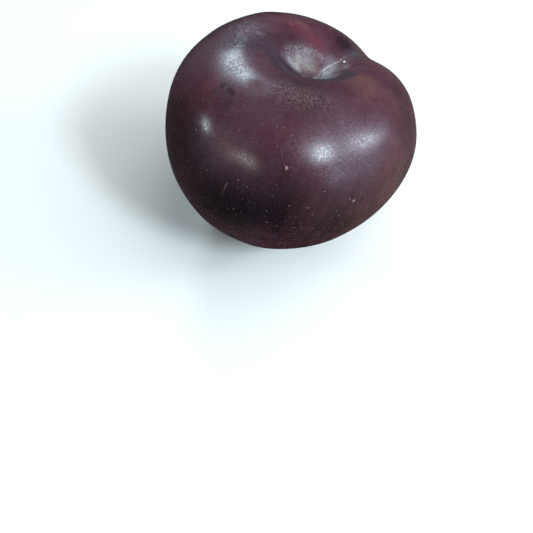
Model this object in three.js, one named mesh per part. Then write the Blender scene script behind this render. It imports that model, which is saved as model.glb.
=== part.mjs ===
// A whole plum, grown as one piece, lying on the small flat spot that its own weight makes.
// Millimetres, +Z up. The origin is on the resting surface, straight below the point where the
// stem axis crosses the widest part of the fruit.
//
// The skin is one closed surface. Each point of a unit sphere is moved out to the skin by
// skinPoint(), which works in the fruit's own frame: +z runs up the stem axis to the stem cavity,
// and +x points from that axis to the suture, the long valley down one side of the fruit.
// The stance then tilts the fruit, and whatever would pass the resting surface is pressed flat.

import * as THREE from 'three';
import { mergeVertices } from 'three/addons/utils/BufferGeometryUtils.js';

const { degToRad, smoothstep } = THREE.MathUtils;

// Body, as shares of the cheek radius
const cheekRadius = 33;
const flattening = 0.17;
const stemEndTaper = 0.115;
const sutureSideFullness = 0.04;
const ovalness = 0.05;
const ovalTurn = degToRad(20);
const shoulderRise = 0.033;
const shoulderTurn = degToRad(25);
const undersideShift = 0.035;

// Suture: a broad V-shaped valley from the stem cavity over the shoulder, fading below the equator
const sutureDepth = 3.8;
const sutureHalfWidth = 9.4;
const sutureCrease = 0.4;
const sutureStart = 1;
const sutureFullBy = 10;
const sutureFades = { from: -0.5, to: 0.7 };

// Shallow dip over the shoulder on the side away from the suture
const backDipDepth = 1;
const backDipHalfWidth = 7;
const backDipFades = { from: 0.25, to: 0.75 };

// Stem cavity: a steep funnel inside a broad shallow bowl, both a little longer along the suture
const cavityFades = { from: 0, to: 0.35 };
const funnel = { depth: 6.2, radius: 5.9, steepness: 3.5, stretch: 1.15, x: -0.9, y: -0.9 };
const bowl = { depth: 4, radius: 18, stretch: 1.3, x: -1, y: -1.4 };

// Scar that the stem leaves at the bottom of the cavity
const scarDepth = 0.8;
const scarRadius = 1.4;

// Stance: the stem leans towards the suture
const leanAngle = degToRad(23.5);
const leanHeading = degToRad(45);
const turnAboutStem = degToRad(-4);

// Flat spot: the surface lies this far below the fruit's centre, and its edge is rounded over
const centreHeight = 30.6;
const flatEdgeRounding = 0.15;

// Mesh: rings crowd towards the stem, where the skin curves most
const segmentsAround = 72;
const ringsStemToTip = 58;
const ringCrowding = 1.35;

function bodyRadius(theta, phi) {
  const c = Math.cos(theta);
  const s = Math.sin(theta);
  const profile = 1 - flattening * c ** 2 - stemEndTaper * c ** 3;
  const oval = ovalness * s ** 2 * Math.cos(2 * (phi - ovalTurn));
  const roundness = 1 + sutureSideFullness * s * Math.cos(phi) + oval;
  const shoulder = smoothstep(c, 0, 1) * s * 2 * Math.cos(phi - shoulderTurn);
  const underside = smoothstep(-c, 0, 1) * s * 2 * Math.cos(phi);
  return cheekRadius * profile * roundness * (1 + shoulderRise * shoulder) * (1 - undersideShift * underside);
}

// How far the suture valley and the dip opposite it sink below the body
function valleyDepth(point, c) {
  const across = Math.hypot(point.y / sutureHalfWidth, sutureCrease);
  const suture = sutureDepth
    * smoothstep(c, sutureFades.from, sutureFades.to)
    * smoothstep(point.x, sutureStart, sutureFullBy)
    * Math.exp(sutureCrease - across);
  const backDip = backDipDepth
    * smoothstep(c, backDipFades.from, backDipFades.to)
    * smoothstep(-point.x, sutureStart, sutureFullBy)
    * Math.exp(-((point.y / backDipHalfWidth) ** 2));
  return suture + backDip;
}

// How far the stem cavity sinks, along the stem axis
function cavityDepth(point) {
  const fromFunnel = Math.hypot((point.x - funnel.x) / funnel.stretch, point.y - funnel.y);
  const fromBowl = Math.hypot((point.x - bowl.x) / bowl.stretch, point.y - bowl.y);
  const funnelDepth = funnel.depth / (1 + (fromFunnel / funnel.radius) ** funnel.steepness);
  const bowlDepth = bowl.depth * Math.exp(-((fromBowl / bowl.radius) ** 2));
  const scar = scarDepth * Math.exp(-((fromFunnel / scarRadius) ** 4));
  return funnelDepth + bowlDepth + scar;
}

// theta runs from the stem axis, phi around it from the suture
function skinPoint(theta, phi) {
  const c = Math.cos(theta);
  const radius = bodyRadius(theta, phi);
  const direction = new THREE.Vector3(Math.sin(theta) * Math.cos(phi), Math.sin(theta) * Math.sin(phi), c);
  const point = direction.clone().multiplyScalar(radius);
  point.addScaledVector(direction, -valleyDepth(point, c));
  point.z -= cavityDepth(point) * smoothstep(c, cavityFades.from, cavityFades.to);
  return point;
}

// Height above the resting surface, with what is below it pressed flat and a rounded edge between
function pressed(height) {
  if (height <= -flatEdgeRounding) return 0;
  if (height >= flatEdgeRounding) return height;
  return (height + flatEdgeRounding) ** 2 / (4 * flatEdgeRounding);
}

function makeStance() {
  const heading = new THREE.Matrix4().makeRotationZ(leanHeading);
  const lean = new THREE.Matrix4().makeRotationY(leanAngle);
  const turn = new THREE.Matrix4().makeRotationZ(turnAboutStem);
  return heading.multiply(lean).multiply(turn);
}

function makePlumGeometry() {
  const sphere = new THREE.SphereGeometry(1, segmentsAround, ringsStemToTip);
  sphere.deleteAttribute('normal');
  sphere.deleteAttribute('uv');
  const geometry = mergeVertices(sphere.rotateX(Math.PI / 2));
  const stance = makeStance();
  const positions = geometry.attributes.position;
  const direction = new THREE.Vector3();
  for (let i = 0; i < positions.count; i += 1) {
    direction.fromBufferAttribute(positions, i).normalize();
    const share = Math.acos(THREE.MathUtils.clamp(direction.z, -1, 1)) / Math.PI;
    const theta = Math.PI * share ** ringCrowding;
    const phi = Math.atan2(direction.y, direction.x);
    const point = skinPoint(theta, phi).applyMatrix4(stance);
    positions.setXYZ(i, point.x, point.y, pressed(point.z + centreHeight));
  }
  geometry.computeVertexNormals();
  return geometry;
}

const skin = new THREE.MeshStandardMaterial({ color: 0x3c1a26, roughness: 0.38, metalness: 0 });
const plum = new THREE.Mesh(makePlumGeometry(), skin);
plum.name = 'plum';

const group = new THREE.Group();
group.add(plum);

export default group;
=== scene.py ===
"""A dark ripe plum lying on its flat spot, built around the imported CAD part.

The skin repeats the CAD part's formula on a finer mesh and adds low relief: a soft undulation, swells on
the shoulder across from the suture, the seam along the suture, the split at its upper end and a small
pit at the blossom end. Its material is worked out in the fruit's own frame, in millimetres: +z runs up
the stem axis, and +x points from it to the suture.
"""

import math

import bpy
import numpy as np
from mathutils import Euler, Matrix, Vector


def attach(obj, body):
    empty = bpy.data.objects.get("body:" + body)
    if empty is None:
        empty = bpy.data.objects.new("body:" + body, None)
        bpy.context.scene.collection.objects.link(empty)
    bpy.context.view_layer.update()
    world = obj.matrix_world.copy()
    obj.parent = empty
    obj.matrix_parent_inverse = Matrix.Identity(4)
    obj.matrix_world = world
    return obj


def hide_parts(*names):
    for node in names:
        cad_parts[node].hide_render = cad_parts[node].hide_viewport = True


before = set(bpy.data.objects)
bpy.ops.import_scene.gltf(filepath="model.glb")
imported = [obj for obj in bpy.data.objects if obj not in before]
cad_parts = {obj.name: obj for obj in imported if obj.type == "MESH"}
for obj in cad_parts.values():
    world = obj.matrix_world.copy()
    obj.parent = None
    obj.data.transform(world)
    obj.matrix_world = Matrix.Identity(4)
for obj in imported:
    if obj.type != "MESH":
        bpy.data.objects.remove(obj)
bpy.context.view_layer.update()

MM = 0.001

# ---------------------------------------------------------------- the fruit's form, as in the CAD part

CHEEK_RADIUS = 33.0
FLATTENING = 0.17
STEM_END_TAPER = 0.115
SUTURE_SIDE_FULLNESS = 0.04
OVALNESS = 0.05
OVAL_TURN = math.radians(20)
SHOULDER_RISE = 0.033
SHOULDER_TURN = math.radians(25)
UNDERSIDE_SHIFT = 0.035

SUTURE_DEPTH = 3.8
SUTURE_HALF_WIDTH = 9.4
SUTURE_CREASE = 0.4
SUTURE_START = 1.0
SUTURE_FULL_BY = 10.0
SUTURE_FADES = (-0.5, 0.7)
BACK_DIP_DEPTH = 1.0
BACK_DIP_HALF_WIDTH = 7.0
BACK_DIP_FADES = (0.25, 0.75)

CAVITY_FADES = (0.0, 0.35)
FUNNEL_DEPTH, FUNNEL_RADIUS, FUNNEL_STEEPNESS, FUNNEL_STRETCH = 6.2, 5.9, 3.5, 1.15
FUNNEL_X, FUNNEL_Y = -0.9, -0.9
BOWL_DEPTH, BOWL_RADIUS, BOWL_STRETCH = 4.0, 18.0, 1.3
BOWL_X, BOWL_Y = -1.0, -1.4
SCAR_DEPTH, SCAR_RADIUS = 0.8, 1.4

LEAN_ANGLE = math.radians(23.5)
LEAN_HEADING = math.radians(45)
TURN_ABOUT_STEM = math.radians(-4)
CENTRE_HEIGHT = 30.6
FLAT_EDGE_ROUNDING = 0.15

# ---------------------------------------------------------------- the finer mesh and its small relief

COLUMNS = 400
RINGS = 248
RING_CROWDING = 1.35
COLUMN_CROWDING = 0.5

# Where the stem cavity or the seam has no say, the distance from it counts as this
FAR = 40.0

SEED = 11
UNDULATION_WAVES = 26
UNDULATION_HEIGHT = 0.11
UNDULATION_LENGTHS = (11.0, 30.0)
UNDULATION_STARTS = (3.0, 9.0)

SEAM_DEPTH = 0.12
SEAM_HALF_WIDTH = 0.16
SEAM_STARTS = (2.0, 5.0)

# The seam deepens towards the stem, between these cosines of the angle from the stem, from its least share
SEAM_DEEPENS = (0.4, 0.9)
SEAM_LEAST = 0.45

# The seam's way across the fruit: a swing inside the cavity, a drift over the shoulder and a small wave
SEAM_OFFSET = -0.35
SEAM_SWING = -1.9
SEAM_SWING_STARTS = 1.5
SEAM_SWING_LENGTH = 2.4
SEAM_DRIFT = 0.1
SEAM_DRIFT_REACH = (12, 24)
SEAM_WAVE = 0.12
SEAM_WAVE_LENGTH = 0.9

SPLIT_DEPTH = 0.5
SPLIT_HALF_WIDTH = 0.14
SPLIT_OPENS = (1.2, 2.2)
SPLIT_CLOSES = (4.6, 2.2)
PIT_DEPTH = 0.45
PIT_RADIUS = 1.3


def smoothstep(value, low, high):
    t = np.clip((value - low) / (high - low), 0, 1)
    return t * t * (3 - 2 * t)


def directions(theta, phi):
    """Unit vectors at the angle theta from the stem axis, and phi around it from the suture."""
    return np.stack([np.sin(theta) * np.cos(phi), np.sin(theta) * np.sin(phi), np.cos(theta)], -1)


def body_radius(theta, phi):
    c, s = np.cos(theta), np.sin(theta)
    profile = 1 - FLATTENING * c**2 - STEM_END_TAPER * c**3
    oval = OVALNESS * s**2 * np.cos(2 * (phi - OVAL_TURN))
    roundness = 1 + SUTURE_SIDE_FULLNESS * s * np.cos(phi) + oval
    shoulder = 1 + SHOULDER_RISE * smoothstep(c, 0, 1) * s * 2 * np.cos(phi - SHOULDER_TURN)
    underside = 1 - UNDERSIDE_SHIFT * smoothstep(-c, 0, 1) * s * 2 * np.cos(phi)
    return CHEEK_RADIUS * profile * roundness * shoulder * underside


def valley_depth(x, y, c):
    across = np.hypot(y / SUTURE_HALF_WIDTH, SUTURE_CREASE)
    suture = SUTURE_DEPTH * smoothstep(c, *SUTURE_FADES) * np.exp(SUTURE_CREASE - across)
    dip = BACK_DIP_DEPTH * smoothstep(c, *BACK_DIP_FADES) * np.exp(-((y / BACK_DIP_HALF_WIDTH) ** 2))
    along_suture = smoothstep(x, SUTURE_START, SUTURE_FULL_BY)
    return suture * along_suture + dip * smoothstep(-x, SUTURE_START, SUTURE_FULL_BY)


def from_funnel(x, y):
    return np.hypot((x - FUNNEL_X) / FUNNEL_STRETCH, y - FUNNEL_Y)


def cavity_depth(x, y):
    reach = from_funnel(x, y)
    from_bowl = np.hypot((x - BOWL_X) / BOWL_STRETCH, y - BOWL_Y)
    funnel = FUNNEL_DEPTH / (1 + (reach / FUNNEL_RADIUS) ** FUNNEL_STEEPNESS)
    bowl = BOWL_DEPTH * np.exp(-((from_bowl / BOWL_RADIUS) ** 2))
    return funnel + bowl + SCAR_DEPTH * np.exp(-((reach / SCAR_RADIUS) ** 4))


def seam_wander(x):
    """How far the seam strays sideways from the middle of the suture."""
    into_cavity = np.maximum(x, SEAM_SWING_STARTS) - SEAM_SWING_STARTS
    swing = SEAM_SWING * np.exp(-((into_cavity / SEAM_SWING_LENGTH) ** 2))
    drift = SEAM_DRIFT * (np.clip(x, *SEAM_DRIFT_REACH) - SEAM_DRIFT_REACH[0])
    return swing + SEAM_OFFSET + drift + SEAM_WAVE * np.sin(x / SEAM_WAVE_LENGTH)


def undulation(x, y, z):
    """Soft waves in every direction, in millimetres."""
    draws = np.random.default_rng(SEED)
    waves = np.zeros_like(x)
    for _ in range(UNDULATION_WAVES):
        heading = draws.normal(size=3)
        heading *= 2 * math.pi / draws.uniform(*UNDULATION_LENGTHS) / np.linalg.norm(heading)
        waves += np.cos(heading[0] * x + heading[1] * y + heading[2] * z + draws.uniform(0, 2 * math.pi))
    return waves * (UNDULATION_HEIGHT / math.sqrt(UNDULATION_WAVES))


def small_relief(x, y, z, c):
    """What the finer mesh adds to the CAD part's form, as a height over the skin."""
    relief = undulation(x, y, z) * smoothstep(from_funnel(x, y) + FAR * (c < 0), *UNDULATION_STARTS)
    across = y - seam_wander(x)
    seam = SEAM_LEAST + (1 - SEAM_LEAST) * smoothstep(c, *SEAM_DEEPENS)
    seam = smoothstep(x, *SEAM_STARTS) * seam
    relief -= SEAM_DEPTH * seam * np.exp(-((across / SEAM_HALF_WIDTH) ** 2))
    split = smoothstep(x, *SPLIT_OPENS) * smoothstep(x, *SPLIT_CLOSES) * (c > 0)
    relief -= SPLIT_DEPTH * split * np.exp(-((across / SPLIT_HALF_WIDTH) ** 2))
    relief -= PIT_DEPTH * np.exp(-((np.hypot(x, y) / PIT_RADIUS) ** 2)) * (c < 0)
    return relief


def skin_points(theta, phi):
    """Points of the skin in the fruit's frame, in millimetres."""
    c = np.cos(theta)
    direction = directions(theta, phi)
    radius = body_radius(theta, phi)
    x, y = direction[..., 0] * radius, direction[..., 1] * radius
    points = direction * (radius - valley_depth(x, y, c))[..., None]
    x, y = points[..., 0].copy(), points[..., 1].copy()
    points[..., 2] -= cavity_depth(x, y) * smoothstep(c, *CAVITY_FADES)
    return points


def stance():
    """Turns the fruit's frame into the part's frame."""
    heading = Matrix.Rotation(LEAN_HEADING, 3, "Z")
    lean = Matrix.Rotation(LEAN_ANGLE, 3, "Y")
    return np.array(heading @ lean @ Matrix.Rotation(TURN_ABOUT_STEM, 3, "Z"))


def pressed(height):
    """Heights over the resting surface, with what is below it pressed flat."""
    edge = (height + FLAT_EDGE_ROUNDING) ** 2 / (4 * FLAT_EDGE_ROUNDING)
    return np.where(height < -FLAT_EDGE_ROUNDING, 0, np.where(height > FLAT_EDGE_ROUNDING, height, edge))


def grid_faces(rings, columns):
    """Faces of a closed surface: a pole, rings - 1 circles of columns points, and a pole."""
    last = 1 + (rings - 1) * columns
    faces = []
    for column in range(columns):
        beside = (column + 1) % columns
        faces.append((0, 1 + column, 1 + beside))
        faces.append((last, last - columns + beside, last - columns + column))
        for ring in range(rings - 2):
            upper = 1 + ring * columns
            lower = upper + columns
            faces.append((upper + column, lower + column, lower + beside, upper + beside))
    return faces


def grid_angles():
    """theta and phi of each point. Rings crowd towards the stem, and columns towards the suture."""
    theta = math.pi * (np.arange(1, RINGS) / RINGS) ** RING_CROWDING
    turn = np.arange(COLUMNS) / COLUMNS * 2 * math.pi
    phi = turn - COLUMN_CROWDING * np.sin(turn)
    grid_theta, grid_phi = np.meshgrid(theta, phi, indexing="ij")
    theta = np.concatenate([[0], grid_theta.ravel(), [math.pi]])
    phi = np.concatenate([[0], grid_phi.ravel(), [0]])
    return theta, phi


# ---------------------------------------------------------------- where the skin's colouring lies

# Each patch is (angle from the stem, angle around it from the suture, angular radius, amount), in degrees

# Low swells and hollows that round the shoulder across from the suture: the amount is in millimetres
SWELLS = [
    (53, -165, 9, 0.62),
    (68, -170, 11, -0.33),
    (58, -147, 9, -0.20),
    (42, 180, 14, 0.48),
    (44, 141, 13, -0.36),
    (53, 167, 12, -0.32),
    (39, -163, 8, -0.12),
]

# Redder skin
CRIMSON = [
    (27, 62, 7, 0.34),
    (23, 40, 6, 0.30),
    (31, 74, 6, 0.22),
    (67, 173, 8, 0.26),
    (82, -131, 8, 0.10),
    (97, -128, 8, 0.08),
    (48, -142, 10, 0.20),
    (90, -18, 12, 0.18),
    (84, 74, 10, 0.14),
    (70, -138, 10, 0.10),
]

# Partly warm brown skin, partly a painted warm reflection on the lower flank
AMBER_AND_WARM_REFLECTION = [
    (30, 60, 4, 0.32),
    (31, -78, 8, 0.40),
    (40, -92, 8, 0.20),
    (50, -72, 9, 0.10),
    (76, -86, 12, 0.12),
    (95, -84, 18, 0.16),
    (112, -100, 14, 0.12),
    (80, -166, 5, 0.14),
    (105, 60, 18, 0.20),
]

# Partly nearly black skin with its bloom rubbed off, partly painted shade that darkens the underside and
# other places where shade falls
INK_AND_SHADE = [
    (92, 170, 22, 0.28),
    (106, -157, 15, 0.44),
    (99, -143, 10, 0.26),
    (102, -120, 15, 0.25),
    (102, -133, 8, 0.12),
    (104, -106, 10, 0.22),
    (92, -134, 9, 0.16),
    (84, -104, 18, 0.10),
    (80, -84, 12, 0.16),
    (62, -68, 13, 0.28),
    (70, -122, 16, 0.06),
    (76, -140, 9, 0.12),
    (54, -138, 9, 0.12),
    (44, -138, 10, 0.26),
    (48, -148, 9, 0.21),
    (63, 180, 6, 0.20),
    (25, 122, 6, 0.10),
    (104, -90, 9, 0.16),
    (62, 148, 14, -0.10),
    (84, -134, 10, 0.12),
    (42, 144, 7, 0.20),
    (50, -88, 12, 0.08),
    (38, 12, 7, 0.36),
    (44, -8, 8, 0.26),
    (52, -50, 8, 0.20),
    (27, 148, 11, 0.24),
    (18, 95, 7, 0.18),
    (40, -160, 9, 0.16),
    (88, -72, 9, 0.10),
    (82, -72, 8, 0.10),
]

# Thicker bloom
HAZE = [
    (37, 120, 10, 0.03),
    (58, 140, 15, 0.035),
    (27, 150, 10, 0.025),
    (78, -120, 3.5, 0.09),
    (73, -114, 10, 0.035),
    (65, -104, 6, 0.05),
    (60, -96, 5, 0.04),
    (61, -116, 8, 0.03),
    (39, 1, 5, 0.10),
    (61, 180, 5, 0.05),
    (62, -166, 9, 0.030),
    (84, -172, 10, 0.045),
    (72, -103, 8, 0.030),
    (68, 138, 14, 0.045),
    (78, -78, 8, 0.040),
    (59, -91, 6, 0.040),
    (44, -6, 7, 0.050),
    (64, -131, 8, 0.025),
    (31, -4, 5, 0.05),
    (74, 22, 14, 0.06),
    (92, 62, 16, 0.06),
    (84, 100, 9, 0.05),
    (108, -28, 16, 0.05),
    (125, 130, 20, 0.04),
]

# Rougher skin, or glossier where the amount is below zero
DULL = [
    (52, -168, 5, 0.50),
    (46, -148, 8, 0.25),
    (45, -136, 8, 0.25),
    (44, -124, 7, 0.15),
    (17, -8, 6, 0.30),
    (23, -8, 5, 0.50),
    (79, -176, 6, -0.04),
    (50, 170, 12, 0.04),
    (42, 144, 8, -0.07),
]

# Wax dried in loops, in fine grains and in fine wrinkles. The grainy patches lie over the highlights, where
# their pale specks are partly a painted sparkle
LOOPS = [
    (47, -160, 6, 0.8),
    (48, -148, 7, 1.0),
    (47, -134, 7, 1.0),
    (44, -122, 6, 0.6),
    (54, -172, 4, 0.6),
    (58, -176, 3, 0.6),
]
GRAINY = [
    (52, 166, 13, 0.9),
    (48, -164, 9, 0.6),
    (70, -123, 12, 0.8),
    (62, -108, 13, 0.9),
    (36, 140, 14, 0.5),
    (80, -160, 8, 0.4),
]
WRINKLES = [
    (40, 128, 8, 0.45),
    (46, 116, 8, 0.5),
    (34, 122, 6, 0.5),
]

# Each patch in the cavity is (x, y, radius, amount), in millimetres
CAVITY_BLOOM = [
    (-4.0, 3.8, 0.9, 0.26),
    (-3.0, 3.4, 0.9, 0.38),
    (-1.8, 3.1, 1.0, 0.34),
    (-1.1, 2.3, 0.9, 0.34),
    (0.1, 3.1, 1.2, 0.22),
    (1.8, 2.7, 1.3, 0.17),
    (1.3, 1.6, 1.3, 0.20),
    (3.2, 1.8, 1.5, 0.14),
    (2.9, 0.5, 1.3, 0.16),
    (4.6, -1.9, 1.3, 0.60),
    (6.6, -1.6, 1.4, 0.46),
    (8.2, -0.6, 1.2, 0.30),
    (8.8, 1.2, 1.2, 0.16),
    (2.9, -3.8, 1.8, 0.58),
    (3.0, -5.6, 1.4, 0.28),
    (-4.5, -2.5, 3.0, 0.35),
]
CAVITY_BEIGE = [
    (-1.6, 2.9, 1.1, 0.9),
    (0.0, 3.6, 1.4, 0.5),
    (2.9, 0.6, 1.7, 0.8),
    (0.9, 0.6, 1.6, 0.7),
]
CAVITY_LACE = [
    (-5.2, 4.5, 1.0, 0.5),
    (-3.5, 5.0, 1.1, 0.8),
    (-1.6, 5.2, 1.2, 0.9),
    (0.4, 5.0, 1.2, 0.9),
    (2.3, 4.5, 1.3, 0.8),
    (4.2, 3.8, 1.3, 0.7),
    (6.0, 2.8, 1.3, 0.7),
    (7.6, 1.8, 1.2, 0.6),
]
# Painted shade at the cavity's edges, under and along the lip seen in front
CAVITY_SHADE = [
    (-10.6, -6.2, 1.1, 0.6),
    (-9.4, -8.0, 1.2, 0.5),
    (-10.5, -4.2, 0.9, 0.4),
    (-6.4, 2.0, 1.2, 0.9),
    (-5.0, 2.1, 1.1, 0.9),
    (-3.7, 1.9, 0.9, 1.0),
    (-2.4, 1.2, 0.9, 1.0),
    (-1.4, 0.2, 1.0, 0.8),
    (-7.3, 3.0, 1.4, 0.8),
    (-8.0, 4.8, 1.6, 0.6),
    (0.8, -1.0, 1.1, 0.4),
    (5.6, -6.4, 1.9, 0.55),
    (3.2, -8.4, 1.6, 0.5),
]

PATCHES = {
    "crimson": CRIMSON,
    "amber_and_warm_reflection": AMBER_AND_WARM_REFLECTION,
    "ink_and_shade": INK_AND_SHADE,
    "haze": HAZE,
    "dull": DULL,
    "loops": LOOPS,
    "grainy": GRAINY,
    "wrinkles": WRINKLES,
}
CAVITY_PATCHES = {
    "cavity_bloom": CAVITY_BLOOM,
    "cavity_beige": CAVITY_BEIGE,
    "cavity_lace": CAVITY_LACE,
    "cavity_shade": CAVITY_SHADE,
}

# Streaks run along a sleeve round the fruit, which narrows towards its ends to this share of its width
SLEEVE_NARROWEST = 0.45

# The lip of the cavity that is seen in front, as an angle around the stem from the suture
FRONT_LIP_HEADING = math.radians(-130)


def patches(theta, phi, places):
    """The sum of the places' soft round patches at each point."""
    at = directions(theta, phi)
    total = np.zeros(len(theta))
    for from_stem, around, size, amount in places:
        middle = directions(math.radians(from_stem), math.radians(around))
        angle = np.degrees(np.arccos(np.clip(at @ middle, -1, 1)))
        total += amount * np.exp(-((angle / size) ** 2))
    return total


def cavity_patches(x, y, places):
    """The sum of the soft round patches laid over the cavity, seen along the stem axis."""
    total = np.zeros(len(x))
    for middle_x, middle_y, radius, amount in places:
        total += amount * np.exp(-((np.hypot(x - middle_x, y - middle_y) / radius) ** 2))
    return total


def add_float(mesh, name, values):
    mesh.attributes.new(name, "FLOAT", "POINT").data.foreach_set("value", values.astype(np.float32))


def add_vector(mesh, name, values):
    attribute = mesh.attributes.new(name, "FLOAT_VECTOR", "POINT")
    attribute.data.foreach_set("vector", values.astype(np.float32).ravel())


def add_places(mesh, theta, phi, skin, points):
    """Gives the material its places: on the fruit, along the sleeve, and from the cavity and the seam."""
    x, y = skin[:, 0], skin[:, 1]
    stem_side = np.cos(theta) > 0
    around = CHEEK_RADIUS * np.maximum(np.sin(theta), SLEEVE_NARROWEST)
    sleeve = np.stack([around * np.cos(phi), around * np.sin(phi), CHEEK_RADIUS * theta], -1)
    front_lip = np.cos(phi - FRONT_LIP_HEADING) * 0.5 + 0.5
    add_vector(mesh, "fruit", points)
    add_vector(mesh, "outward", directions(theta, phi))
    add_vector(mesh, "sleeve", sleeve)
    add_float(mesh, "latitude", theta / math.pi)
    add_float(mesh, "from_cavity", np.where(stem_side, from_funnel(x, y), FAR))
    add_float(mesh, "front_lip", front_lip * stem_side)
    add_float(mesh, "across_seam", np.where(x > 0, y - seam_wander(x), FAR))


def add_colouring(mesh, theta, phi, skin):
    """Gives the material its patches."""
    for name, places in PATCHES.items():
        add_float(mesh, name, patches(theta, phi, places))
    for name, places in CAVITY_PATCHES.items():
        amount = cavity_patches(skin[:, 0], skin[:, 1], places)
        add_float(mesh, name, amount * (np.cos(theta) > 0))


def make_plum():
    theta, phi = grid_angles()
    skin = skin_points(theta, phi)
    relief = small_relief(*skin.T, np.cos(theta)) + patches(theta, phi, SWELLS)
    points = skin + directions(theta, phi) * relief[:, None]
    placed = points @ stance().T
    placed[:, 2] = pressed(placed[:, 2] + CENTRE_HEIGHT)
    mesh = bpy.data.meshes.new("plum_skin")
    mesh.from_pydata((placed * MM).tolist(), [], grid_faces(RINGS, COLUMNS))
    mesh.polygons.foreach_set("use_smooth", [True] * len(mesh.polygons))
    add_places(mesh, theta, phi, skin, points)
    add_colouring(mesh, theta, phi, skin)
    mesh.update()
    plum = bpy.data.objects.new("plum_skin", mesh)
    bpy.context.scene.collection.objects.link(plum)
    return plum


# ---------------------------------------------------------------- node helpers

# The Mix node's sockets for colours
MIX_FACTOR, MIX_A, MIX_B, MIX_RESULT = 0, 6, 7, 2


class Nodes:
    """Adds nodes to one material and hands back their output sockets."""

    def __init__(self, material):
        material.use_nodes = True
        self.tree = material.node_tree
        self.tree.nodes.clear()

    def add(self, kind, inputs=None, **settings):
        node = self.tree.nodes.new(kind)
        for name, value in settings.items():
            setattr(node, name, value)
        for name, value in (inputs or {}).items():
            self.feed(node.inputs[name], value)
        return node

    def feed(self, socket, value):
        if isinstance(value, bpy.types.NodeSocket):
            self.tree.links.new(value, socket)
        else:
            socket.default_value = value

    def attribute(self, name, output="Fac"):
        return self.add("ShaderNodeAttribute", attribute_name=name).outputs[output]

    def math(self, operation, a, b=0.0, clamp=False):
        return self.add("ShaderNodeMath", {0: a, 1: b}, operation=operation, use_clamp=clamp).outputs[0]

    def vector(self, operation, a, b=(0, 0, 0), output="Vector"):
        return self.add("ShaderNodeVectorMath", {0: a, 1: b}, operation=operation).outputs[output]

    def scaled(self, a, factor):
        return self.add("ShaderNodeVectorMath", {0: a, "Scale": factor}, operation="SCALE").outputs["Vector"]

    def swing(self, noise, amount):
        """The noise about its middle, times the amount."""
        return self.product(self.math("SUBTRACT", noise, 0.5), amount)

    def ease(self, value, low, high, out_low=0.0, out_high=1.0):
        """Runs smoothly from out_low, where the value is low, to out_high, where it is high."""
        inputs = {"Value": value, "From Min": low, "From Max": high, "To Min": out_low, "To Max": out_high}
        return self.add("ShaderNodeMapRange", inputs, interpolation_type="SMOOTHSTEP").outputs["Result"]

    def noise(self, place, scale, detail=3.0, roughness=0.5, distortion=0.0, output="Fac"):
        inputs = {"Vector": place, "Scale": scale, "Detail": detail}
        inputs.update({"Roughness": roughness, "Distortion": distortion})
        return self.add("ShaderNodeTexNoise", inputs).outputs[output]

    def voronoi(self, place, scale, feature="F1"):
        return self.add("ShaderNodeTexVoronoi", {"Vector": place, "Scale": scale}, feature=feature)

    def mix(self, factor, a, b):
        inputs = {MIX_FACTOR: factor, MIX_A: a, MIX_B: b}
        return self.add("ShaderNodeMix", inputs, data_type="RGBA", clamp_factor=True).outputs[MIX_RESULT]

    def ramp(self, factor, stops):
        node = self.add("ShaderNodeValToRGB", {"Fac": factor})
        elements = node.color_ramp.elements
        while len(elements) < len(stops):
            elements.new(0.5)
        for element, (position, colour) in zip(elements, stops):
            element.position = position
            element.color = (*colour, 1)
        return node.outputs["Color"]

    def total(self, *values):
        result = values[0]
        for value in values[1:]:
            result = self.math("ADD", result, value)
        return result

    def product(self, *values):
        result = values[0]
        for value in values[1:]:
            result = self.math("MULTIPLY", result, value)
        return result

    def surface(self, inputs):
        """Ends the material with one principled shader."""
        shader = self.add("ShaderNodeBsdfPrincipled", inputs)
        self.add("ShaderNodeOutputMaterial", {"Surface": shader.outputs["BSDF"]})


# ---------------------------------------------------------------- the skin's material

PIGMENTS = [
    (0.00, (0.005, 0.003, 0.005)),
    (0.25, (0.019, 0.008, 0.012)),
    (0.45, (0.044, 0.014, 0.022)),
    (0.65, (0.077, 0.026, 0.039)),
    (0.85, (0.096, 0.032, 0.045)),
    (1.00, (0.110, 0.040, 0.052)),
]
CRIMSON_COLOUR = (0.150, 0.026, 0.040, 1)
# Warm brown, also used for a painted warm reflection on the lower flank
AMBER_AND_REFLECTION_COLOUR = (0.170, 0.075, 0.055, 1)
# Painted shade, for the band along the cavity's lip and for the cavity's shaded edges
PAINTED_SHADE_COLOUR = (0.021, 0.010, 0.018, 1)
BLOOM_COLOUR = (0.34, 0.32, 0.40, 1)
LOOP_COLOUR = (0.27, 0.17, 0.19, 1)
CAVITY_COLOUR = (0.29, 0.30, 0.33, 1)
CAVITY_BEIGE_COLOUR = (0.36, 0.35, 0.29, 1)
SEAM_COLOUR = (0.50, 0.46, 0.40, 1)
LENTICEL_COLOUR = (0.46, 0.37, 0.34, 1)
SPLIT_COLOUR = (0.03, 0.014, 0.012, 1)
SCAR_COLOUR = (0.06, 0.035, 0.03, 1)
# Dark spots, and painted shade along creases
DARK_SPOT_AND_SHADE_COLOUR = (0.036, 0.010, 0.014, 1)
# A painted highlight
PAINTED_GLINT_COLOUR = (0.80, 0.88, 0.95, 1)

SKIN_ROUGHNESS = 0.19
SKIN_IOR = 1.42

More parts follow.
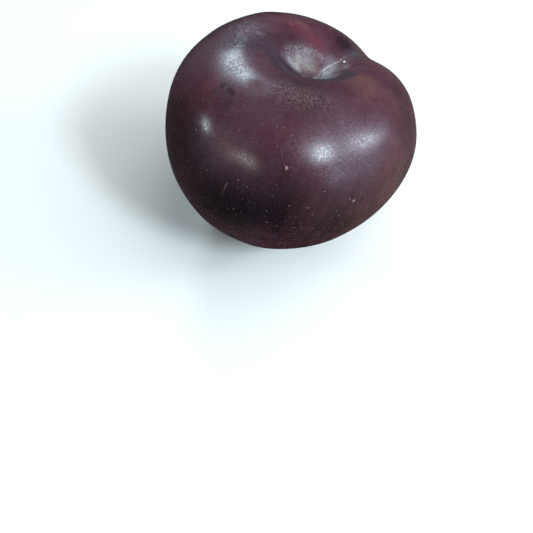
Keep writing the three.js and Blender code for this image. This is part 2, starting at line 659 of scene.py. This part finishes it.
# How fine the skin's patterns are, in waves or cells per millimetre
BROAD_SCALE = 0.05
STREAK_SCALE = (0.55, 0.55, 0.09)
MOTTLE_SCALE = 0.35
PEBBLE_SCALE = 0.8
GRAIN_SCALE = 2.4
PORE_SCALE = 2.5
GLOSS_SCALE = 1.8
LOOP_SCALE = 1.25
SMALL_LOOP_SCALE = 1.7
SPECK_SCALE = 4.0
WRINKLE_SCALE = (0.6, 0.6, 3.0)
WALL_SCALE = 2.3
WALL_STRETCH = (1, 1, 0.4)
CRUMB_SCALE = 2.6
BEAD_SCALE = 2.2
LENTICEL_SCALE = 0.65

# The skin's middle place on the scale of pigments, and how far its patterns swing about it
PIGMENT_DEPTH = 0.60
BROAD_SWING = 0.45
STREAK_SWING = 0.22

# How strongly each layer over the pigment shows
THINNEST_VEIL = 0.008
VEIL_SWING = 0.08
LOOP_STRENGTH = 0.27
SPECK_AND_SPARKLE_STRENGTH = 0.20
WRINKLE_STRENGTH = 0.24
LACE_STRENGTH = 0.68
LIP_SHADE_STRENGTH = 0.85
SHADE_STRENGTH = 0.95
SEAM_STRENGTH = 0.72

# Loops of wax are thin walls between cells, warped by a noise that grows finer and lower with the cells
LOOP_EDGE = (0.14, 0.03)
LOOP_WARP = 1.2
LOOP_WARP_SCALE = 1.2

# Millimetres from the middle of the cavity's funnel: where each starts to show, then where it is full
LIP_INSIDE, LIP_OUTSIDE = (6.8, 8.2), (11.2, 9.6)
SEAM_LINE_FADES = (13.0, 8.0)
SEAM_BLOOM_FADES = (9.5, 6.0)
SPLIT_INSIDE, SPLIT_OUTSIDE = (1.6, 2.6), (5.6, 4.2)
SCAR_FADES = (1.7, 1.0)

# Millimetres to either side of the seam, in the same way
SEAM_LINE_EDGE = (0.36, 0.08)
SEAM_RAGGEDNESS = 0.9
SEAM_BLOOM_EDGE = (1.5, 0.3)
SPLIT_EDGE = (0.20, 0.08)

# Lenticels from the stem end to the tip: the share of cells that has one, and the radius in millimetres
LENTICEL_SHARES = (0.10, 0.65)
LENTICEL_RADII = (0.12, 0.18)
LENTICEL_STRENGTHS = (0.10, 0.60)

# Each mark is the two ends of a short line, as (angle from the stem, angle around it from the suture),
# its half width in millimetres and its strength. The painted glint, a small painted highlight, is at full
# strength
SCRATCHES = [
    ((93.3, -159.2), (100.0, -160.2), 0.11, 0.30),
    ((65.9, 158.6), (63.2, 157.6), 0.09, 0.35),
    ((36.0, 93.5), (33.3, 91.5), 0.16, 0.70),
    ((33.2, 98.5), (31.6, 97.5), 0.12, 0.50),
    ((88.7, -107.6), (89.3, -108.1), 0.27, 0.65),
    ((78.3, -140.1), (78.5, -140.0), 0.46, 0.45),
    ((26.9, 77.1), (26.9, 77.6), 0.28, 0.45),
]
# The first two are dark spots on the skin; the other four are painted shade along creases near the seam
DARK_SPOTS_AND_CREASE_SHADE = [
    ((59.9, 176.6), (61.3, 176.9), 0.80, 0.85),
    ((60.2, -178.6), (60.8, -175.8), 1.00, 0.85),
    ((18.9, -74.0), (22.5, -33.2), 0.6, 0.55),
    ((22.5, -33.2), (28.7, -23.9), 0.6, 0.50),
    ((28.7, -23.9), (35.3, -21.9), 0.6, 0.60),
    ((35.3, -21.9), (39.3, -30.9), 0.6, 0.35),
]
# A painted highlight: a tiny glint near the seam
PAINTED_GLINT = ((27.1, -8.4), (27.6, -8.0), 0.3)
MARK_SHARPNESS = 0.3
DARK_MARK_WOBBLE = 0.8
DARK_MARK_WOBBLE_SCALE = 1.5

# Heights of the finest relief, in millimetres
GRAIN_HEIGHT, GRAIN_HEIGHT_IN_WAX = 0.003, 0.008
PORE_HEIGHT, PORE_HEIGHT_IN_WAX = -0.002, -0.008
PEBBLE_HEIGHT = 0.004
LOOP_HEIGHT = 0.002
LENTICEL_HEIGHT = 0.02


def pigment(nodes, fruit):
    """The colour in the skin under its bloom, darkened in places by painted shade."""
    broad = nodes.noise(fruit, BROAD_SCALE, detail=3.0, roughness=0.45, distortion=0.4)
    streak_place = nodes.vector("MULTIPLY", nodes.attribute("sleeve", "Vector"), STREAK_SCALE)
    streaks = nodes.noise(streak_place, 1.0, detail=4.0, roughness=0.55, distortion=0.3)
    depth = nodes.total(
        PIGMENT_DEPTH,
        nodes.swing(broad, BROAD_SWING),
        nodes.swing(streaks, STREAK_SWING),
        # The ink patches darken the pigment: partly dark skin, partly painted shade
        nodes.product(nodes.attribute("ink_and_shade"), -1.0),
    )
    colour = nodes.ramp(depth, PIGMENTS)
    streaked = nodes.ease(streaks, 0.3, 0.7, 0.6, 1.3)
    colour = nodes.mix(nodes.product(nodes.attribute("crimson"), streaked), colour, CRIMSON_COLOUR)
    # The amber patches: warm brown skin, and in part a painted warm reflection
    return nodes.mix(nodes.product(nodes.attribute("amber_and_warm_reflection"), streaked), colour, AMBER_AND_REFLECTION_COLOUR)


def net(nodes, fruit, scale):
    """Fine pale loops, as the wax dries into around darker grains."""
    warp = nodes.noise(fruit, LOOP_WARP_SCALE * scale, detail=2.0, output="Color")
    place = nodes.vector("ADD", fruit, nodes.scaled(warp, LOOP_WARP / scale))
    edge = nodes.voronoi(place, scale, feature="DISTANCE_TO_EDGE").outputs["Distance"]
    return nodes.ease(edge, *LOOP_EDGE)


def bloom_veil(nodes, grain, mottle):
    """How thick the veil of wax is: more in patches, broken up by fine grain, less on the darkest skin and
    under the painted shade.
    """
    wax = nodes.total(THINNEST_VEIL, nodes.attribute("haze"), nodes.swing(mottle, VEIL_SWING))
    rubbed = nodes.ease(nodes.attribute("ink_and_shade"), 0.1, 0.5, 1.0, 0.1)
    return nodes.product(wax, nodes.ease(grain, 0.3, 0.7, 0.5, 1.5), rubbed)


def dried_wax(nodes, colour, fruit, pebble, loops):
    """The colour with wax dried in loops and fine wrinkles, and pale specks laid over it: partly wax grains,
    partly a painted sparkle in the highlights.
    """
    gathered = nodes.ease(pebble, 0.36, 0.60, 0.45, 1.0)
    looped = nodes.product(nodes.attribute("loops"), gathered, loops, LOOP_STRENGTH)
    colour = nodes.mix(looped, colour, LOOP_COLOUR)
    # Pale specks: partly grains of wax, partly a painted sparkle where the grainy patches lie over the
    # highlights
    specks = nodes.ease(nodes.noise(fruit, SPECK_SCALE, detail=1.0), 0.46, 0.66)
    specked = nodes.product(specks, nodes.attribute("grainy"), SPECK_AND_SPARKLE_STRENGTH)
    colour = nodes.mix(specked, colour, BLOOM_COLOUR)
    wrinkle_place = nodes.vector("MULTIPLY", fruit, WRINKLE_SCALE)
    wrinkles = nodes.ease(nodes.noise(wrinkle_place, 1.0, detail=2.0, distortion=0.6), 0.46, 0.62)
    wrinkled = nodes.product(wrinkles, nodes.attribute("wrinkles"), WRINKLE_STRENGTH)
    return nodes.mix(wrinkled, colour, BLOOM_COLOUR)


def painted_lip_shade(nodes, from_cavity):
    """Painted shade: a dark band where the skin turns over into the cavity, on the side seen in front."""
    inside = nodes.ease(from_cavity, *LIP_INSIDE)
    outside = nodes.ease(from_cavity, *LIP_OUTSIDE)
    in_front = nodes.ease(nodes.attribute("front_lip"), 0.45, 0.8)
    return nodes.product(inside, outside, in_front, LIP_SHADE_STRENGTH)


def cavity_bloom(nodes, fruit, mottle):
    """How thick the cavity's bloom is. It breaks into crumbs and loops at its upper edge."""
    wall_place = nodes.vector("MULTIPLY", fruit, WALL_STRETCH)
    down_wall = nodes.noise(wall_place, WALL_SCALE, detail=3.0, roughness=0.6)
    bloom = nodes.product(nodes.attribute("cavity_bloom"), nodes.ease(down_wall, 0.3, 0.7, 0.45, 1.45))
    crumbs = nodes.ease(nodes.noise(fruit, CRUMB_SCALE, detail=1.0), 0.52, 0.60)
    flecks = nodes.math("MAXIMUM", crumbs, nodes.product(net(nodes, fruit, SMALL_LOOP_SCALE), 0.6))
    worn = nodes.ease(mottle, 0.35, 0.6, 0.4, 1.0)
    lace = nodes.product(nodes.attribute("cavity_lace"), flecks, worn, LACE_STRENGTH)
    return nodes.math("ADD", bloom, lace, clamp=True)


def draw_cavity(nodes, colour, bloom):
    """The colour with the cavity's pale bloom, beige in places, and painted shade at its edges laid over it.
    """
    beige = nodes.mix(nodes.attribute("cavity_beige"), CAVITY_COLOUR, CAVITY_BEIGE_COLOUR)
    colour = nodes.mix(bloom, colour, beige)
    # Painted shade at the cavity's edges
    shade = nodes.product(nodes.attribute("cavity_shade"), SHADE_STRENGTH)
    return nodes.mix(shade, colour, PAINTED_SHADE_COLOUR)


def draw_seam(nodes, colour, fruit, from_cavity, grain):
    """The colour with the fine beaded seam, bloom on both sides of it, the split and the stem scar."""
    across_seam = nodes.math("ABSOLUTE", nodes.attribute("across_seam"))
    beside = nodes.product(
        nodes.ease(across_seam, *SEAM_BLOOM_EDGE),
        nodes.ease(grain, 0.35, 0.65, 0.0, 0.35),
        nodes.ease(from_cavity, *SEAM_BLOOM_FADES),
    )
    colour = nodes.mix(beside, colour, CAVITY_COLOUR)
    beads = nodes.ease(nodes.noise(fruit, BEAD_SCALE, detail=1.0), 0.42, 0.58, 0.1, 0.9)
    ragged = nodes.math("ADD", across_seam, nodes.swing(grain, SEAM_RAGGEDNESS))
    along_seam = nodes.ease(from_cavity, *SEAM_LINE_FADES)
    line = nodes.product(nodes.ease(ragged, *SEAM_LINE_EDGE), along_seam, beads, SEAM_STRENGTH)
    colour = nodes.mix(line, colour, SEAM_COLOUR)
    split_reach = nodes.product(
        nodes.ease(from_cavity, *SPLIT_INSIDE),
        nodes.ease(from_cavity, *SPLIT_OUTSIDE),
    )
    split = nodes.product(nodes.ease(across_seam, *SPLIT_EDGE), split_reach)
    colour = nodes.mix(split, colour, SPLIT_COLOUR)
    return nodes.mix(nodes.ease(from_cavity, *SCAR_FADES), colour, SCAR_COLOUR)


def lenticels(nodes):
    """Small pale dots: flat discs, one to a cell at most, more and larger towards the tip."""
    latitude = nodes.attribute("latitude")
    outward = nodes.attribute("outward", "Vector")
    place = nodes.scaled(outward, CHEEK_RADIUS)
    cells = nodes.voronoi(place, LENTICEL_SCALE)
    away = nodes.vector("SUBTRACT", place, cells.outputs["Position"])
    depth = nodes.vector("DOT_PRODUCT", away, outward, "Value")
    length = nodes.vector("LENGTH", away, output="Value")
    flat = nodes.math("SUBTRACT", nodes.product(length, length), nodes.product(depth, depth))
    sideways = nodes.math("SQRT", flat)
    draws = nodes.add("ShaderNodeSeparateColor", {0: cells.outputs["Color"]}).outputs
    share = nodes.ease(latitude, 0.20, 0.50, *LENTICEL_SHARES)
    kept = nodes.math("LESS_THAN", draws["Red"], share)
    uneven = nodes.ease(draws["Blue"], 0.0, 1.0, 0.6, 1.2)
    size = nodes.product(nodes.ease(latitude, 0.2, 0.8, *LENTICEL_RADII), uneven)
    disc = nodes.ease(sideways, size, nodes.product(size, 0.4))
    faint = nodes.math("POWER", draws["Green"], 3.0)
    return nodes.product(disc, kept, nodes.ease(faint, 0.0, 1.0, *LENTICEL_STRENGTHS))


def skin_point(from_stem, around):
    """The point of the skin at two angles in degrees."""
    return skin_points(np.radians([from_stem]), np.radians([around]))[0]


def mark(nodes, fruit, start, end, half_width):
    """1 on the straight line between two points of the skin, falling to 0 at half_width."""
    first = skin_point(*start)
    along = skin_point(*end) - first
    from_first = nodes.vector("SUBTRACT", fruit, tuple(first))
    reached = nodes.vector("DOT_PRODUCT", from_first, tuple(along), "Value")
    share = nodes.math("DIVIDE", reached, float(np.dot(along, along)), clamp=True)
    off_line = nodes.vector("SUBTRACT", from_first, nodes.scaled(tuple(along), share))
    away = nodes.vector("LENGTH", off_line, output="Value")
    return nodes.ease(away, half_width, half_width * MARK_SHARPNESS)


def draw_marks(nodes, colour, fruit, dots):
    """The colour with the lenticels, scratches, dark spots, painted shade along creases and a painted glint
    laid over it.
    """
    colour = nodes.mix(dots, colour, LENTICEL_COLOUR)
    for start, end, half_width, strength in SCRATCHES:
        drawn = mark(nodes, fruit, start, end, half_width)
        colour = nodes.mix(nodes.product(drawn, strength), colour, LENTICEL_COLOUR)
    wobble = nodes.noise(fruit, DARK_MARK_WOBBLE_SCALE, output="Color")
    wobbled = nodes.vector("ADD", fruit, nodes.scaled(wobble, DARK_MARK_WOBBLE))
    wobbled = nodes.vector("SUBTRACT", wobbled, (DARK_MARK_WOBBLE / 2,) * 3)
    darkness = 0.0
    for start, end, half_width, strength in DARK_SPOTS_AND_CREASE_SHADE:
        drawn = nodes.product(mark(nodes, wobbled, start, end, half_width), strength)
        darkness = nodes.math("MAXIMUM", darkness, drawn)
    # Dark spots, and painted shade along creases
    colour = nodes.mix(darkness, colour, DARK_SPOT_AND_SHADE_COLOUR)
    # A painted highlight: the glint
    return nodes.mix(mark(nodes, fruit, *PAINTED_GLINT), colour, PAINTED_GLINT_COLOUR)


def skin_roughness(nodes, fruit, veil, bloom, lip):
    """Dull where wax lies, in the painted shade at the cavity's edges and its lip, glossy elsewhere, and a
    little uneven all over.
    """
    dull = nodes.total(
        nodes.product(veil, 0.4),
        nodes.product(bloom, 0.3),
        nodes.attribute("dull"),
        nodes.product(nodes.attribute("cavity_shade"), 0.6),
        nodes.product(lip, 0.5),
        nodes.product(nodes.attribute("grainy"), 0.04),
    )
    uneven = nodes.ease(nodes.noise(fruit, GLOSS_SCALE, detail=1.0), 0.3, 0.7, 0.0, 0.12)
    return nodes.math("ADD", nodes.math("ADD", dull, uneven), SKIN_ROUGHNESS, clamp=True)


def fine_relief(nodes, fruit, grain, pebble, loops, dots):
    """The normal over the finest relief: grain, pebbling, pores, loops of wax and lenticels."""
    grainy = nodes.attribute("grainy")
    pores = nodes.voronoi(fruit, PORE_SCALE).outputs["Distance"]
    grain_height = nodes.math("ADD", nodes.product(grainy, GRAIN_HEIGHT_IN_WAX), GRAIN_HEIGHT)
    pore_height = nodes.math("ADD", nodes.product(grainy, PORE_HEIGHT_IN_WAX), PORE_HEIGHT)
    height = nodes.total(
        nodes.product(grain, grain_height),
        nodes.product(pebble, PEBBLE_HEIGHT),
        nodes.product(pores, pores, pore_height),
        nodes.product(loops, nodes.attribute("loops"), LOOP_HEIGHT),
        nodes.product(dots, LENTICEL_HEIGHT),
    )
    bump = nodes.add("ShaderNodeBump", {"Height": height, "Strength": 1.0, "Distance": MM})
    return bump.outputs["Normal"]


def make_skin_material():
    material = bpy.data.materials.new("plum_skin")
    nodes = Nodes(material)
    fruit = nodes.attribute("fruit", "Vector")
    from_cavity = nodes.attribute("from_cavity")
    grain = nodes.noise(fruit, GRAIN_SCALE, detail=3.0, roughness=0.6)
    pebble = nodes.noise(fruit, PEBBLE_SCALE, detail=2.0)
    mottle = nodes.noise(fruit, MOTTLE_SCALE, detail=4.0, roughness=0.6)
    loops = net(nodes, fruit, LOOP_SCALE)
    dots = lenticels(nodes)
    veil = bloom_veil(nodes, grain, mottle)
    lip = painted_lip_shade(nodes, from_cavity)
    bloom = cavity_bloom(nodes, fruit, mottle)

    colour = nodes.mix(veil, pigment(nodes, fruit), BLOOM_COLOUR)
    colour = dried_wax(nodes, colour, fruit, pebble, loops)
    # Painted shade: a dark band along the lip of the cavity seen in front
    colour = nodes.mix(lip, colour, PAINTED_SHADE_COLOUR)
    colour = draw_cavity(nodes, colour, bloom)
    colour = draw_seam(nodes, colour, fruit, from_cavity, grain)
    colour = draw_marks(nodes, colour, fruit, dots)
    nodes.surface(
        {
            "Base Color": colour,
            "Roughness": skin_roughness(nodes, fruit, veil, bloom, lip),
            "IOR": SKIN_IOR,
            "Normal": fine_relief(nodes, fruit, grain, pebble, loops, dots),
        }
    )
    return material


# ---------------------------------------------------------------- floor, lights and camera

MATT_ROUGHNESS = 0.8
BLACK = (0, 0, 0, 1)

FLOOR_CORNERS = ((-1.6, -1.6), (1.6, 1.6))
FLOOR_COLOUR = (0.78, 0.77, 0.75, 1)

CARD_CORNERS = ((-0.01, -0.20), (0.45, 0.30))
CARD_HEIGHT = 0.0002
CARD_COLOUR = (0.11, 0.08, 0.06, 1)
CARD_LEFT_EDGE = (-0.005, 0.05)
CARD_NEAR_COLOUR = (0.15, 0.12, 0.09, 1)
CARD_NEAR_MIDDLE = (0.008, 0.012, 0)
CARD_NEAR_REACH = (0.026, 0.036)

WORLD_COLOUR = (0.80, 0.84, 0.90, 1)
WORLD_STRENGTH = 0.05


def make_plane(name, low, high, height, material):
    (x0, y0), (x1, y1) = low, high
    corners = [(x0, y0, height), (x1, y0, height), (x1, y1, height), (x0, y1, height)]
    mesh = bpy.data.meshes.new(name)
    mesh.from_pydata(corners, [], [(0, 1, 2, 3)])
    mesh.materials.append(material)
    plane = bpy.data.objects.new(name, mesh)
    bpy.context.scene.collection.objects.link(plane)
    return plane


def make_floor():
    """A pale floor that the skin doesn't mirror."""
    material = bpy.data.materials.new("floor")
    Nodes(material).surface({"Base Color": FLOOR_COLOUR, "Roughness": MATT_ROUGHNESS})
    floor = make_plane("floor", *FLOOR_CORNERS, 0, material)
    floor.visible_glossy = False


def make_card_material():
    """Warm and dim, brighter close to the fruit, and fading to black at the left edge."""
    material = bpy.data.materials.new("card")
    nodes = Nodes(material)
    place = nodes.add("ShaderNodeNewGeometry").outputs["Position"]
    away = nodes.vector("SUBTRACT", place, CARD_NEAR_MIDDLE)
    reach = nodes.vector("LENGTH", away, output="Value")
    colour = nodes.mix(nodes.ease(reach, *CARD_NEAR_REACH), CARD_NEAR_COLOUR, CARD_COLOUR)
    x = nodes.add("ShaderNodeSeparateXYZ", {0: place}).outputs["X"]
    colour = nodes.mix(nodes.ease(x, *CARD_LEFT_EDGE), BLACK, colour)
    nodes.surface({"Base Color": colour, "Roughness": MATT_ROUGHNESS, "Specular IOR Level": 0.0})
    return material


def make_card():
    """A card just over the floor, on the fruit's right, that only the skin mirrors."""
    card = make_plane("card", *CARD_CORNERS, CARD_HEIGHT, make_card_material())
    card.visible_camera = False
    card.visible_diffuse = False
    card.visible_shadow = False


# Each light is its name, its heading from the front, elevation, turn in its own plane, width and height,
# all in degrees as seen from the fruit, then its brightness, its colour and whether the skin mirrors it
LIGHTS = [
    ("back_window", 190.0, 32.8, 0, 13, 13, 23.0, (0.70, 0.90, 1.0), True),
    ("back_halo", 192, 36, 0, 30, 26, 0.3, (0.76, 0.90, 1.0), True),
    ("back_glow", 184, 12, 0, 40, 30, 0.08, (0.80, 0.86, 1.0), True),
    ("left_window", -88, 29, 22, 3.0, 10, 42.0, (0.80, 0.93, 1.0), True),
    ("left_halo", -88, 27, 22, 8, 26, 1.4, (0.80, 0.92, 1.0), True),
    ("front_left_bounce", -39, 28, -10, 12, 10, 8.5, (0.98, 1.0, 0.92), True),
    ("front_left_halo", -40, 25, 0, 24, 22, 0.6, (1.0, 0.98, 0.96), True),
    ("front_right_lamp", 47, 40, -32, 9, 15, 58.0, (0.74, 0.92, 1.0), True),
    ("front_right_halo", 52, 43, 0, 28, 30, 3.3, (0.76, 0.88, 1.0), True),
    ("right_window", 88.5, 23, 68, 7, 18, 31.0, (0.80, 0.92, 1.0), True),
    ("right_halo", 88, 21, 60, 18, 38, 1.6, (0.80, 0.90, 1.0), True),
    ("front_right_glow", 60, -2, 0, 44, 10, 0.4, (0.80, 0.86, 1.0), True),
    ("overhead", 95, 62, 0, 50, 50, 2.5, (1.0, 1.0, 1.0), False),
]
LIGHT_DISTANCE = 0.9


def make_light(name, heading, elevation, turn, width, height, brightness, colour, mirrored):
    """An area light that faces the fruit; its brightness is the radiance of its face."""
    light = bpy.data.lights.new(name, "AREA")
    light.shape = "RECTANGLE"
    light.size = 2 * LIGHT_DISTANCE * math.tan(math.radians(width / 2))
    light.size_y = 2 * LIGHT_DISTANCE * math.tan(math.radians(height / 2))
    light.energy = brightness * math.pi * light.size * light.size_y
    light.color = colour
    lamp = bpy.data.objects.new(name, light)
    lamp.visible_glossy = mirrored
    bpy.context.scene.collection.objects.link(lamp)
    around = math.radians(heading)
    above = math.radians(elevation)
    level = math.cos(above)
    towards = Vector((math.sin(around) * level, -math.cos(around) * level, math.sin(above)))
    lamp.location = Vector((0, 0, CENTRE_HEIGHT * MM)) + LIGHT_DISTANCE * towards
    facing = towards.to_track_quat("Z", "Y").to_matrix()
    lamp.rotation_euler = (facing @ Matrix.Rotation(math.radians(turn), 3, "Z")).to_euler()


def make_world():
    world = bpy.data.worlds.new("studio")
    world.use_nodes = True
    background = world.node_tree.nodes["Background"]
    background.inputs["Color"].default_value = WORLD_COLOUR
    background.inputs["Strength"].default_value = WORLD_STRENGTH
    bpy.context.scene.world = world


CAMERA_PLACE = Vector((-5.97, -116.77, 149.25)) * MM
CAMERA_PITCH = math.radians(58)
SENSOR_WIDTH = 36.0
FOCAL_PIXELS = 640
FRAME_PIXELS = 533
NEAREST_SEEN = 0.01


def make_camera():
    camera = bpy.data.cameras.new("camera")
    camera.sensor_width = SENSOR_WIDTH
    camera.lens = SENSOR_WIDTH * FOCAL_PIXELS / FRAME_PIXELS
    camera.clip_start = NEAREST_SEEN
    view = bpy.data.objects.new("camera", camera)
    view.location = CAMERA_PLACE
    view.rotation_euler = Euler((math.pi / 2 - CAMERA_PITCH, 0, 0))
    bpy.context.scene.collection.objects.link(view)
    bpy.context.scene.camera = view


plum = make_plum()
plum.data.materials.append(make_skin_material())
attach(plum, "root")
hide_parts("plum")

make_floor()
make_card()
make_world()
for light in LIGHTS:
    make_light(*light)
make_camera()
bpy.context.scene.view_settings.view_transform = "Standard"
